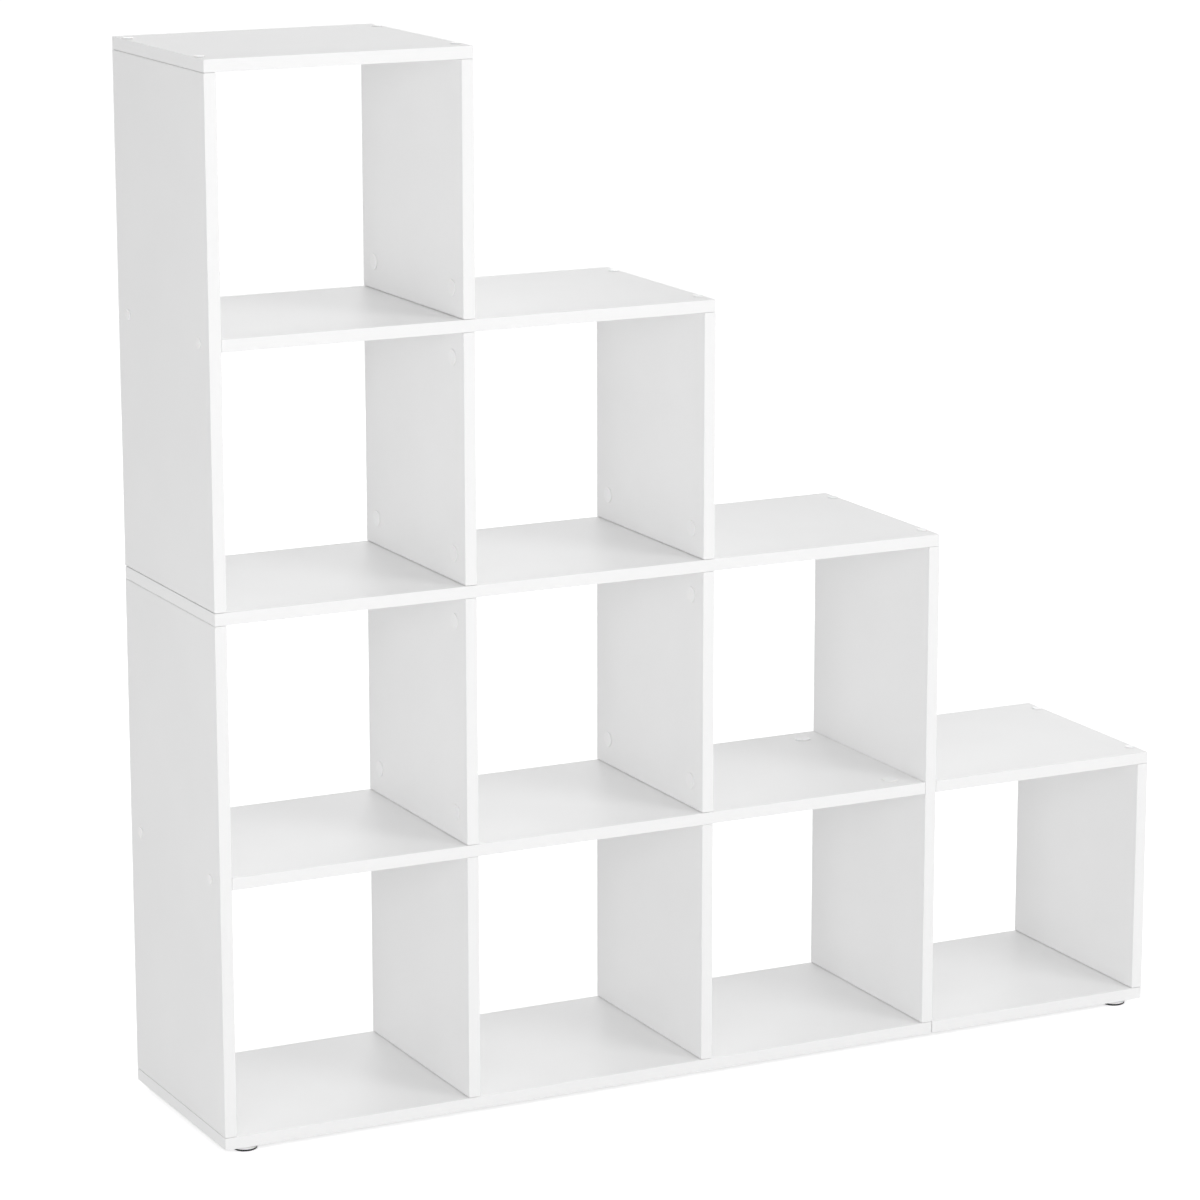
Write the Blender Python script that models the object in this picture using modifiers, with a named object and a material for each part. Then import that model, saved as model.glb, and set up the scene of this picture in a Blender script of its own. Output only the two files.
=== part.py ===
"""White cube bookcase in steps: ten open cubes in four columns, four high on the left.

It is flat furniture: boards run across, uprights stand between them, and long screws and cam
fittings hold them together, a front one and a rear one at each joint. X runs to the right, Y to
the rear and Z up. The origin is on the floor, under the middle of the bookcase.
"""

import math

import bmesh
import bpy
from mathutils import Matrix, Vector

# Panels, in metres
BOARD = 0.015
CUBE = 0.305
DEPTH = 0.290
CUBES_PER_COLUMN = (4, 3, 2, 1)
BUTT_GAP = 0.0003

# Where fittings sit, in from the front and rear edges
FITTING_INSET = 0.032

# Long furniture screws with a hexagon socket, and the caps pressed into those that show
SCREW_LENGTH = 0.050
SCREW_HEAD_RADIUS = 0.0048
SCREW_HEAD_HEIGHT = 0.003
SCREW_SINK = 0.0006
SCREW_SHANK_RADIUS = 0.0034
SCREW_THREAD_RADIUS = 0.0027
SCREW_TIP = 0.003
SOCKET_RADIUS = 0.0023
SOCKET_DEPTH = 0.0025
CAP_RADIUS = 0.0065
CAP_THICKNESS = 0.0009
CAP_STEM_RADIUS = 0.0015

# Cam fittings: a bolt through the panel between, and a covered cam on each side
CAM_DISTANCE = 0.034
CAM_RADIUS = 0.0075
CAM_FLOOR = 0.0025
COVER_RADIUS = 0.010
COVER_THICKNESS = 0.0008
BOLT_RADIUS = 0.003

# Dowels that line up the two bottom boards end to end
DOWEL_RADIUS = 0.004
DOWEL_LENGTH = 0.030

# Feet: round glides with a pin that is pressed into the bottom
FOOT_HEIGHT = 0.007
FOOT_RADIUS = 0.015
FOOT_TOP_RADIUS = 0.0125
FOOT_RIM = 0.0025
FOOT_CHAMFER = 0.0008
FOOT_SIDE_INSET = 0.032
FOOT_EDGE_INSET = 0.018
FOOT_PIN_RADIUS = 0.0025
FOOT_PIN_LENGTH = 0.010

# Room round a fitting in its hole, and how far a cutter runs past the face that it opens
CLEARANCE = 0.0003
OVERRUN = 0.002
WELD_DISTANCE = 0.00002

# Sides of the round pieces and holes
FOOT_SIDES = 32
DISC_SIDES = 16
CAM_SIDES = 12
ROD_SIDES = 8
SOCKET_SIDES = 6
SMOOTH_BELOW = math.radians(35)

# Worked out from the sizes above
PITCH = CUBE + BOARD
WIDTH = len(CUBES_PER_COLUMN) * PITCH + BOARD
FITTING_ROWS = (("front", FITTING_INSET - DEPTH / 2), ("rear", DEPTH / 2 - FITTING_INSET))
CAM_HEIGHT = BOARD - CAM_FLOOR
CAM_REACH = BOARD / 2 + CAM_DISTANCE
LEFT, RIGHT, FRONT, UP, DOWN = (Vector(way) for way in (
    (-1, 0, 0), (1, 0, 0), (0, -1, 0), (0, 0, 1), (0, 0, -1)))

WHITE_BOARD = ("white_board", "#F2F2F2", 0.45, 0.0)
WHITE_CAPPED_STEEL = ("white_capped_steel", "#F0F0F0", 0.40, 0.0)
FOOT_PLASTIC = ("foot_plastic", "#E4E4E2", 0.40, 0.0)
WHITE_COVERED_ZINC = ("white_covered_zinc", "#F0F0F0", 0.40, 0.0)
STEEL = ("zinc_plated_steel", "#C4C6C9", 0.35, 1.0)


def wall(number):
    """X of the left face of a wall; wall 0 is the left side."""
    return number * PITCH - WIDTH / 2


def level(number):
    """Z of the underside of a board; level 0 is the bottom."""
    return FOOT_HEIGHT + number * PITCH


# Collections, materials and objects
def clear_scene():
    for item in list(bpy.data.objects):
        bpy.data.objects.remove(item, do_unlink=True)


def new_collection(name):
    group = bpy.data.collections.new(name)
    bpy.context.scene.collection.children.link(group)
    return group


def linear(code):
    """Turn a hex colour into the linear values that a shader takes."""
    shares = [int(code[start:start + 2], 16) / 255 for start in (1, 3, 5)]
    return [s / 12.92 if s <= 0.04045 else ((s + 0.055) / 1.055) ** 2.4 for s in shares] + [1.0]


def material(look):
    """Return the Principled material of a look, made when it is first asked for."""
    name, code, roughness, metallic = look
    found = bpy.data.materials.get(name)
    if found:
        return found
    made = bpy.data.materials.new(name)
    made.use_nodes = True
    shader = made.node_tree.nodes["Principled BSDF"]
    shader.inputs["Base Color"].default_value = linear(code)
    shader.inputs["Roughness"].default_value = roughness
    shader.inputs["Metallic"].default_value = metallic
    made.diffuse_color = linear(code)
    return made


def add_object(name, mesh, look, place=Vector()):
    """Put a mesh in the bookcase's collection, under its empty."""
    made = bpy.data.objects.new(name, mesh)
    made.location = place
    made.parent = bookcase
    mesh.materials.append(material(look))
    parts.objects.link(made)
    return made


# Shapes
def evaluated_mesh(source):
    """Return the mesh of an object with its modifiers applied, and remove the object."""
    bpy.context.view_layer.update()
    graph = bpy.context.evaluated_depsgraph_get()
    mesh = bpy.data.meshes.new_from_object(source.evaluated_get(graph), depsgraph=graph)
    bpy.data.objects.remove(source, do_unlink=True)
    return mesh


def box_mesh(low, high):
    """A box between two corners."""
    low, high = Vector(low), Vector(high)
    shape = bmesh.new()
    bmesh.ops.create_cube(shape, size=1)
    size = high - low
    bmesh.ops.scale(shape, vec=size, verts=shape.verts)
    bmesh.ops.translate(shape, vec=(low + high) / 2, verts=shape.verts)
    mesh = bpy.data.meshes.new("box")
    shape.to_mesh(mesh)
    shape.free()
    return mesh


def rod_mesh(radius, top, bottom, sides):
    """A round rod on Z from one height to a lower one."""
    shape = bmesh.new()
    bmesh.ops.create_cone(shape, cap_ends=True, segments=sides, radius1=radius, radius2=radius,
                          depth=top - bottom)
    bmesh.ops.translate(shape, vec=(0, 0, (top + bottom) / 2), verts=shape.verts)
    mesh = bpy.data.meshes.new("rod")
    shape.to_mesh(mesh)
    shape.free()
    return mesh


def turned_mesh(profile, sides):
    """Turn a profile of radius and height round Z; it runs down its outer side."""
    points = [(radius, 0, height) for radius, height in profile]
    edges = [(start, start + 1) for start in range(len(points) - 1)]
    mesh = bpy.data.meshes.new("profile")
    mesh.from_pydata(points, edges, [])
    blank = bpy.data.objects.new("profile", mesh)
    cutters.objects.link(blank)
    turn = blank.modifiers.new("turn", "SCREW")
    turn.axis = "Z"
    turn.steps = sides
    turn.render_steps = sides
    turn.use_merge_vertices = True
    turn.merge_threshold = WELD_DISTANCE
    return evaluated_mesh(blank)


def combined_mesh(mesh, operation, tool_meshes):
    """Return a mesh after a Boolean with each tool in turn."""
    blank = bpy.data.objects.new("blank", mesh)
    cutters.objects.link(blank)
    tools = []
    for tool_mesh in tool_meshes:
        tool = bpy.data.objects.new("tool", tool_mesh)
        cutters.objects.link(tool)
        step = blank.modifiers.new("step", "BOOLEAN")
        step.operation = operation
        step.solver = "EXACT"
        step.object = tool
        tools.append(tool)
    result = evaluated_mesh(blank)
    for tool in tools:
        bpy.data.objects.remove(tool, do_unlink=True)
    return result


def copies_mesh(placed_meshes):
    """Join placed copies of meshes into one mesh of separate solids."""
    shape = bmesh.new()
    for mesh, place in placed_meshes:
        start = len(shape.verts)
        shape.from_mesh(mesh)
        shape.verts.ensure_lookup_table()
        bmesh.ops.transform(shape, matrix=place, verts=shape.verts[start:])
    joined = bpy.data.meshes.new("copies")
    shape.to_mesh(joined)
    shape.free()
    return joined


def frame_at(point, outward, across=None):
    """A placement whose Z points outward and whose X points across."""
    across = across or (FRONT if abs(outward.dot(FRONT)) < 0.5 else UP)
    turn = Matrix((across, outward.cross(across), outward)).transposed()
    return Matrix.Translation(point) @ turn.to_4x4()


# Fittings: a screw's pattern has its board's outer face at Z = 0 and runs down into the board
def screw_body_mesh():
    top = -SCREW_SINK
    cone = SCREW_HEAD_RADIUS - SCREW_SHANK_RADIUS
    end = top - SCREW_LENGTH
    return turned_mesh((
        (0, top),
        (SCREW_HEAD_RADIUS, top),
        (SCREW_HEAD_RADIUS, top - SCREW_HEAD_HEIGHT),
        (SCREW_SHANK_RADIUS, top - SCREW_HEAD_HEIGHT - cone),
        (SCREW_SHANK_RADIUS, -BOARD),
        (SCREW_THREAD_RADIUS, -BOARD),
        (SCREW_THREAD_RADIUS, end + SCREW_TIP),
        (0, end)), ROD_SIDES)


def open_screw_mesh():
    """A screw with its hexagon socket open."""
    socket_end = -SCREW_SINK - SOCKET_DEPTH
    socket = rod_mesh(SOCKET_RADIUS, OVERRUN, socket_end, SOCKET_SIDES)
    return combined_mesh(screw_body_mesh(), "DIFFERENCE", [socket])


def capped_screw_mesh():
    """A screw with a chamfered flat cap, whose stem is pressed into the head."""
    top = CLEARANCE + CAP_THICKNESS
    stem_end = -SCREW_SINK - SOCKET_DEPTH
    cap = turned_mesh((
        (0, top),
        (CAP_RADIUS - CAP_THICKNESS / 2, top),
        (CAP_RADIUS, top - CAP_THICKNESS / 2),
        (CAP_RADIUS, CLEARANCE),
        (CAP_STEM_RADIUS, CLEARANCE),
        (CAP_STEM_RADIUS, stem_end),
        (0, stem_end)), DISC_SIDES)
    return combined_mesh(screw_body_mesh(), "UNION", [cap])


def screw_way_mesh():
    """The stepped hole through the board under a screw's head."""
    cone = SCREW_HEAD_RADIUS - SCREW_SHANK_RADIUS
    seat = -SCREW_SINK - SCREW_HEAD_HEIGHT - CLEARANCE
    return turned_mesh((
        (0, OVERRUN),
        (SCREW_HEAD_RADIUS + CLEARANCE, OVERRUN),
        (SCREW_HEAD_RADIUS + CLEARANCE, seat),
        (SCREW_SHANK_RADIUS + CLEARANCE, seat - cone),
        (SCREW_SHANK_RADIUS + CLEARANCE, -BOARD - OVERRUN),
        (0, -BOARD - OVERRUN)), ROD_SIDES)


def screw_bore_mesh():
    """The hole in the end of the panel that a screw holds."""
    deep = SCREW_SINK + SCREW_LENGTH + CLEARANCE
    return rod_mesh(SCREW_THREAD_RADIUS + CLEARANCE, OVERRUN - BOARD, -deep, ROD_SIDES)


def covered_cam_mesh():
    """A cam with its cover, down from the panel's face at Z = 0."""
    top = CLEARANCE + COVER_THICKNESS
    cover = turned_mesh((
        (0, top),
        (COVER_RADIUS - COVER_THICKNESS / 2, top),
        (COVER_RADIUS, top - COVER_THICKNESS / 2),
        (COVER_RADIUS, CLEARANCE),
        (0, CLEARANCE)), DISC_SIDES)
    cam = rod_mesh(CAM_RADIUS, CLEARANCE + COVER_THICKNESS / 2, -CAM_HEIGHT, CAM_SIDES)
    return combined_mesh(cover, "UNION", [cam])


def cam_fitting_mesh(lower_side):
    """A bolt on Z with a covered cam at each end; they face X above and lower_side below."""
    bolt = rod_mesh(BOLT_RADIUS, CAM_REACH, -CAM_REACH, ROD_SIDES)
    cams = []
    for way, side in ((UP, RIGHT), (DOWN, lower_side)):
        cam = covered_cam_mesh()
        cam.transform(frame_at(way * CAM_REACH + side * (BOARD / 2), side, way))
        cams.append(cam)
    return combined_mesh(bolt, "UNION", cams)


def foot_mesh():
    """A round glide that widens to its rim, with a pin on top."""
    top = FOOT_HEIGHT - CLEARANCE
    pin_end = FOOT_HEIGHT + FOOT_PIN_LENGTH
    return turned_mesh((
        (0, pin_end),
        (FOOT_PIN_RADIUS, pin_end),
        (FOOT_PIN_RADIUS, top),
        (FOOT_TOP_RADIUS, top),
        (FOOT_RADIUS, FOOT_CHAMFER + FOOT_RIM),
        (FOOT_RADIUS, FOOT_CHAMFER),
        (FOOT_RADIUS - FOOT_CHAMFER, 0),
        (0, 0)), FOOT_SIDES)


def make_patterns():
    """The mesh of each fitting, and of each hole that is cut for one."""
    bore_start = CAM_REACH - BOARD / 2
    bolt_hole = BOLT_RADIUS + CLEARANCE
    pin_end = FOOT_HEIGHT + FOOT_PIN_LENGTH + CLEARANCE
    return {
        "capped_screw": capped_screw_mesh(),
        "open_screw": open_screw_mesh(),
        "cam_fitting": cam_fitting_mesh(RIGHT),
        "crossed_cam_fitting": cam_fitting_mesh(LEFT),
        "foot": foot_mesh(),
        "screw_way": screw_way_mesh(),
        "screw_bore": screw_bore_mesh(),
        "bolt_way": rod_mesh(bolt_hole, BOARD / 2 + OVERRUN, -BOARD / 2 - OVERRUN, ROD_SIDES),
        "bolt_bore": rod_mesh(bolt_hole, OVERRUN, -bore_start, ROD_SIDES),
        "cam_pocket": rod_mesh(CAM_RADIUS + CLEARANCE, OVERRUN, -CAM_HEIGHT - CLEARANCE, CAM_SIDES),
        "dowel_hole": rod_mesh(DOWEL_RADIUS + CLEARANCE, OVERRUN, -DOWEL_LENGTH / 2 - CLEARANCE,
                               ROD_SIDES),
        "foot_pin_hole": rod_mesh(FOOT_PIN_RADIUS + CLEARANCE, pin_end, 0, DISC_SIDES),
    }


# Panels
class Panel:
    """One board or upright, with its holes still to be cut."""

    def __init__(self, name, along, low, high, butted_ends):
        self.name = name
        self.low = low
        self.high = high
        self.holes = []
        self.pockets = []
        low[along] += BUTT_GAP * butted_ends[0]
        high[along] -= BUTT_GAP * butted_ends[1]

    def build(self):
        middle = (self.low + self.high) / 2
        mesh = box_mesh(self.low - middle, self.high - middle)
        made = add_object(self.name, mesh, WHITE_BOARD, middle)
        for kind, cuts in (("holes", self.holes), ("pockets", self.pockets)):
            if cuts:
                add_cutter(made, f"{self.name}_{kind}", copies_mesh(cuts))


def add_cutter(target, name, mesh):
    """Cut a mesh out of an object with a Boolean modifier that stays on it."""
    cutter = bpy.data.objects.new(name, mesh)
    cutter.parent = bookcase
    cutter.hide_render = True
    cutter.display_type = "WIRE"
    cutters.objects.link(cutter)
    cut = target.modifiers.new(name, "BOOLEAN")
    cut.operation = "DIFFERENCE"
    cut.solver = "EXACT"
    cut.object = cutter


def board(name, storey, start, stop, butted_ends):
    """A board across X at a level; each end that meets an upright or a board is butted."""
    low = Vector((start, -DEPTH / 2, level(storey)))
    high = Vector((stop, DEPTH / 2, level(storey) + BOARD))
    return Panel(name, 0, low, high, butted_ends)


def upright(name, column, start_level, stop_level):
    """An upright that stands on one board and carries another."""
    low = Vector((wall(column), -DEPTH / 2, level(start_level) + BOARD))
    high = Vector((wall(column) + BOARD, DEPTH / 2, level(stop_level)))
    return Panel(name, 2, low, high, (True, True))


def make_panels():
    """Every board and upright by name."""
    free, butted = False, True
    inner_left = wall(0) + BOARD
    step = wall(3) + BOARD
    right = wall(4) + BOARD
    panels = [
        board("bottom_board", 0, wall(0), step, (free, butted)),
        board("right_cube_bottom", 0, step, right, (butted, free)),
        board("right_cube_top", 1, step, right, (butted, free)),
        board("first_level_shelf", 1, inner_left, wall(3), (butted, butted)),
        board("second_level_board", 2, wall(0), step, (free, free)),
        board("third_level_board", 3, inner_left, wall(2) + BOARD, (butted, free)),
        board("top_board", 4, wall(0), wall(1) + BOARD, (free, free)),
        upright("left_side_lower", 0, 0, 2),
        upright("left_side_upper", 0, 2, 4),
        upright("third_divider", 3, 0, 2),
        upright("right_side", 4, 0, 1),
    ]
    for column, name in ((1, "first"), (2, "second")):
        for row in range(CUBES_PER_COLUMN[column - 1]):
            panels.append(upright(f"{name}_divider_row_{row + 1}", column, row, row + 1))
    return {panel.name: panel for panel in panels}


# Joints between panels: each function adds the fittings and notes their holes in the panels
def cut(panel, pattern, place):
    panel.holes.append((patterns[pattern], place))


def add_fitting(name, pattern, place, look):
    """Make one fitting from its pattern, at its own place."""
    made = add_object(name, patterns[pattern].copy(), look)
    made.matrix_world = place
    made.data.shade_smooth()
    made.data.set_sharp_from_angle(angle=SMOOTH_BELOW)


def screw_joint(name, through, held, point, outward, pattern, look):
    """A front and a rear screw through one panel into the end of another."""
    for row_name, row in FITTING_ROWS:
        place = frame_at(Vector((point[0], row, point[2])), outward)
        cut(panels[through], "screw_way", place)
        cut(panels[held], "screw_bore", place)
        add_fitting(f"{name}_{row_name}", pattern, place, look)


def cam_joint(name, through, ends, point, axis):
    """Front and rear bolts through a panel, with cams in the panels on both its sides.

    Each end gives a panel and the side that its cam opens to, first the end that axis points to.
    """
    pattern = "cam_fitting" if ends[0][1] == ends[1][1] else "crossed_cam_fitting"
    for row_name, row in FITTING_ROWS:
        middle = Vector((point[0], row, point[2]))
        place = frame_at(middle, axis, ends[0][1])
        cut(panels[through], "bolt_way", place)
        for (held, side), way in zip(ends, (axis, -axis)):
            mouth = middle + way * (BOARD / 2)
            centre = middle + way * CAM_REACH + side * (BOARD / 2)
            cut(panels[held], "bolt_bore", frame_at(mouth, -way))
            pocket = frame_at(centre, side, way)
            panels[held].pockets.append((patterns["cam_pocket"], pocket))
        add_fitting(f"{name}_{row_name}", pattern, place, WHITE_COVERED_ZINC)


def middle_of_wall(number):
    return wall(number) + BOARD / 2


def middle_of_level(number):
    return level(number) + BOARD / 2


def join_with_screws():
    """Capped screws through the outer faces, and open ones up through the bottom."""
    for name, through, held, column, storey in (
            ("screw_top_left", "top_board", "left_side_upper", 0, 4),
            ("screw_top_right", "top_board", "first_divider_row_4", 1, 4),
            ("screw_third_level", "third_level_board", "second_divider_row_3", 2, 3),
            ("screw_second_level", "second_level_board", "third_divider", 3, 2),
            ("screw_right_cube", "right_cube_top", "right_side", 4, 1)):
        point = (middle_of_wall(column), 0, level(storey) + BOARD)
        screw_joint(name, through, held, point, UP, "capped_screw", WHITE_CAPPED_STEEL)
    for name, through, held, storey in (
            ("screw_left_side_upper", "left_side_upper", "third_level_board", 3),
            ("screw_left_side_lower", "left_side_lower", "first_level_shelf", 1)):
        point = (wall(0), 0, middle_of_level(storey))
        screw_joint(name, through, held, point, LEFT, "capped_screw", WHITE_CAPPED_STEEL)
    for name, through, held, column in (
            ("bottom_screw_left_side", "bottom_board", "left_side_lower", 0),
            ("bottom_screw_first_divider", "bottom_board", "first_divider_row_1", 1),
            ("bottom_screw_second_divider", "bottom_board", "second_divider_row_1", 2),
            ("bottom_screw_third_divider", "bottom_board", "third_divider", 3),
            ("bottom_screw_right_side", "right_cube_bottom", "right_side", 4)):
        point = (middle_of_wall(column), 0, level(0))
        screw_joint(name, through, held, point, DOWN, "open_screw", STEEL)


def join_with_cams():
    """Cam fittings where uprights meet above and below a board, or boards beside an upright."""
    for name, through, above, below, below_side, column, storey in (
            ("cams_first_divider_level_3", "third_level_board",
             "first_divider_row_4", "first_divider_row_3", LEFT, 1, 3),
            ("cams_first_divider_level_2", "second_level_board",
             "first_divider_row_3", "first_divider_row_2", LEFT, 1, 2),
            ("cams_second_divider_level_2", "second_level_board",
             "second_divider_row_3", "second_divider_row_2", LEFT, 2, 2),
            ("cams_first_divider_level_1", "first_level_shelf",
             "first_divider_row_2", "first_divider_row_1", RIGHT, 1, 1),
            ("cams_second_divider_level_1", "first_level_shelf",
             "second_divider_row_2", "second_divider_row_1", RIGHT, 2, 1)):
        point = (middle_of_wall(column), 0, middle_of_level(storey))
        cam_joint(name, through, ((above, LEFT), (below, below_side)), point, UP)
    point = (middle_of_wall(0), 0, middle_of_level(2))
    ends = (("left_side_upper", RIGHT), ("left_side_lower", RIGHT))
    cam_joint("cams_left_side_level_2", "second_level_board", ends, point, UP)
    point = (middle_of_wall(3), 0, middle_of_level(1))
    ends = (("right_cube_top", DOWN), ("first_level_shelf", UP))
    cam_joint("cams_third_divider_level_1", "third_divider", ends, point, RIGHT)


def drill_for_dowels():
    """Holes in the meeting ends of the two bottom boards, front and rear."""
    for _, row in FITTING_ROWS:
        point = Vector((wall(3) + BOARD, row, middle_of_level(0)))
        cut(panels["bottom_board"], "dowel_hole", frame_at(point, RIGHT))
        cut(panels["right_cube_bottom"], "dowel_hole", frame_at(point, LEFT))


def add_feet():
    """A glide near each corner, with its pin in the bottom."""
    side = WIDTH / 2 - FOOT_SIDE_INSET
    edge = DEPTH / 2 - FOOT_EDGE_INSET
    for side_name, across, bottom in (
            ("left", -side, "bottom_board"), ("right", side, "right_cube_bottom")):
        for row_name, along in (("front", -edge), ("rear", edge)):
            place = Matrix.Translation((across, along, 0))
            cut(panels[bottom], "foot_pin_hole", place)
            add_fitting(f"foot_{side_name}_{row_name}", "foot", place, FOOT_PLASTIC)


clear_scene()
parts = new_collection("cube_bookcase")
cutters = new_collection("cutters")
bookcase = bpy.data.objects.new("cube_bookcase_origin", None)
parts.objects.link(bookcase)

panels = make_panels()
patterns = make_patterns()
join_with_screws()
join_with_cams()
drill_for_dowels()
add_feet()
for panel in panels.values():
    panel.build()
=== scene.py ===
"""White cube bookcase in steps, dressed as it is made.

Each board and upright is chipboard under white melamine foil, with a strip of edging glued all
round it. Screws under white caps, cams under round covers, dowels and press-in glides join and
carry them. Every surface is worked out with numpy, and takes its place from its CAD node.
"""

import math

import bmesh
import bpy
import numpy as np
from bpy.props import FloatProperty, FloatVectorProperty, PointerProperty
from mathutils import Matrix, Vector


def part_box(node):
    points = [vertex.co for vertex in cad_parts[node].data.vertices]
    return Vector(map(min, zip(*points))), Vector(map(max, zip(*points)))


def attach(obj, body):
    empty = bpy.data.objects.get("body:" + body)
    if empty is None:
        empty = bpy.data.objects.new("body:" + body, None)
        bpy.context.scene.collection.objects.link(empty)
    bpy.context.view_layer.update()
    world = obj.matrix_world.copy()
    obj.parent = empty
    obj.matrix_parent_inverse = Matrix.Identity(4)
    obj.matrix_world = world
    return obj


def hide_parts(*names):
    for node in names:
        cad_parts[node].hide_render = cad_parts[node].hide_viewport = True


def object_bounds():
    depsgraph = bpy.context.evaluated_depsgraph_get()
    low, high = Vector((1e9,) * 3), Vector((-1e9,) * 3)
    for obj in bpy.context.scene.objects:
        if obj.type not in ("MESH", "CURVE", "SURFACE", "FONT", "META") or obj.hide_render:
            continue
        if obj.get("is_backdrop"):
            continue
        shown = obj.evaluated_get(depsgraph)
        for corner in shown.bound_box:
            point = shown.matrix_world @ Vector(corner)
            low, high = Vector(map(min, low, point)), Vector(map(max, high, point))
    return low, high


bl_info = {
    "name": "Cube bookcase in steps",
    "version": (1, 0, 0),
    "blender": (4, 5, 0),
    "location": "3D View > Sidebar > Bookcase",
    "description": "Builds a white cube bookcase from boards, edging and furniture fittings",
    "category": "Add Mesh",
}

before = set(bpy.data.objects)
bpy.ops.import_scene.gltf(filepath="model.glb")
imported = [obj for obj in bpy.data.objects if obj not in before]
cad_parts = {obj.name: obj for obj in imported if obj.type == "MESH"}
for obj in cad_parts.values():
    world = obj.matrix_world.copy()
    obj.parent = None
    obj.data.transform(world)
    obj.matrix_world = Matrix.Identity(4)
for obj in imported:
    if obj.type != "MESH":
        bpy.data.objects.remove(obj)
CAD_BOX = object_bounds()

LEFT, RIGHT, FRONT, UP, DOWN = (Vector(way) for way in (
    (-1, 0, 0), (1, 0, 0), (0, -1, 0), (0, 0, 1), (0, 0, -1)))
ROWS = ("front", "rear")

# Points closer than this are welded, edges sharper than this angle show as edges, and this far
# past a panel's end its neighbour is looked for
MERGE = 1e-6
SHARP_ANGLE = math.radians(32)
PROBE = 0.001

# How the fittings lie on their boards, as in the CAD part, in metres
BOARD = 0.015
CLEARANCE = 0.0003
CONTACT = 0.00015
SCREW_SINK = 0.0006
SCREW_LENGTH = 0.050
SCREW_HEAD_RADIUS = 0.0048
SCREW_HEAD_HEIGHT = 0.003
SCREW_SHANK_RADIUS = 0.0034
SCREW_BORE_RADIUS = 0.0030
SCREW_TIP = 0.003
SOCKET_ACROSS = 0.004
SOCKET_DEPTH = 0.0025
SOCKET_CHAMFER = 0.0003
THREAD_GAP = 0.0008
CAP_RADIUS = 0.0065
CAP_TOP = 0.0012
CAP_RIM = 0.0013
CAP_STEM_RADIUS = 0.0015
CAM_REACH = 0.0415
CAM_RADIUS = 0.0075
CAM_DEPTH = 0.0125
CAM_SINK = 0.0004
COVER_RADIUS = 0.010
COVER_TOP = 0.0011
COVER_RIM = 0.0022
BOLT_RADIUS = 0.003
BOLT_NECK_RADIUS = 0.0018
DOWEL_RADIUS = 0.004
DOWEL_LENGTH = 0.030
DOWEL_CHAMFER = 0.0016
FOOT_HEIGHT = 0.007
FOOT_RADIUS = 0.015
FOOT_TOP_RADIUS = 0.0125
PIN_RADIUS = 0.0025
PIN_LENGTH = 0.010

# How far the drills run past the faces that they go through
OVERRUN = 0.002

PANELS = (
    "bottom_board", "right_cube_bottom", "right_cube_top", "first_level_shelf",
    "second_level_board", "third_level_board", "top_board", "left_side_lower",
    "left_side_upper", "third_divider", "right_side",
    *(f"first_divider_row_{row}" for row in range(1, 5)),
    *(f"second_divider_row_{row}" for row in range(1, 4)))

# Screws: their name, the panel they go through, the panel they hold and the way their heads face
CAPPED_SCREWS = (
    ("screw_top_left", "top_board", "left_side_upper", UP),
    ("screw_top_right", "top_board", "first_divider_row_4", UP),
    ("screw_third_level", "third_level_board", "second_divider_row_3", UP),
    ("screw_second_level", "second_level_board", "third_divider", UP),
    ("screw_right_cube", "right_cube_top", "right_side", UP),
    ("screw_left_side_upper", "left_side_upper", "third_level_board", LEFT),
    ("screw_left_side_lower", "left_side_lower", "first_level_shelf", LEFT))
BOTTOM_SCREWS = (
    ("bottom_screw_left_side", "bottom_board", "left_side_lower", DOWN),
    ("bottom_screw_first_divider", "bottom_board", "first_divider_row_1", DOWN),
    ("bottom_screw_second_divider", "bottom_board", "second_divider_row_1", DOWN),
    ("bottom_screw_third_divider", "bottom_board", "third_divider", DOWN),
    ("bottom_screw_right_side", "right_cube_bottom", "right_side", DOWN))

# Cam fittings: their name, the panel between, the way of the bolt, and for each of its ends the
# panel that holds a cam and the side on which its cover shows
CAM_FITTINGS = (
    ("cams_first_divider_level_3", "third_level_board", UP,
     ("first_divider_row_4", LEFT), ("first_divider_row_3", LEFT)),
    ("cams_first_divider_level_2", "second_level_board", UP,
     ("first_divider_row_3", LEFT), ("first_divider_row_2", LEFT)),
    ("cams_second_divider_level_2", "second_level_board", UP,
     ("second_divider_row_3", LEFT), ("second_divider_row_2", LEFT)),
    ("cams_first_divider_level_1", "first_level_shelf", UP,
     ("first_divider_row_2", LEFT), ("first_divider_row_1", RIGHT)),
    ("cams_second_divider_level_1", "first_level_shelf", UP,
     ("second_divider_row_2", LEFT), ("second_divider_row_1", RIGHT)),
    ("cams_left_side_level_2", "second_level_board", UP,
     ("left_side_upper", RIGHT), ("left_side_lower", RIGHT)),
    ("cams_third_divider_level_1", "third_divider", RIGHT,
     ("right_cube_top", DOWN), ("first_level_shelf", UP)))
FEET = tuple((f"foot_{side}_{row}", bottom) for side, bottom in (
    ("left", "bottom_board"), ("right", "right_cube_bottom")) for row in ROWS)

# The studio, in metres and degrees; the floor's lift is a share of white. Of each lamp, the
# property of its power, its place and its width
LAMPS = (
    ("front", (2.2, -3.6, 3.2), 2.0), ("left", (-3.2, -3.8, 1.3), 2.6),
    ("right", (4.2, -1.4, 1.4), 2.6), ("rear", (0.6, 4.4, 1.5), 3.2),
    ("side", (3.4, 2.8, 1.2), 2.6))
LAMP_HEIGHT = 2.2
LAMP_TARGET = Vector((0, 0, 0.65))
FLOOR_RADII = (0, 1, 3, 8, 20, 60)
FLOOR_LIFT = 0.6
CAMERA_PLACE = (-2.5105, -4.8373, 1.8392)
CAMERA_TURN = (77.0065, 0.026, -26.7213)


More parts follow.
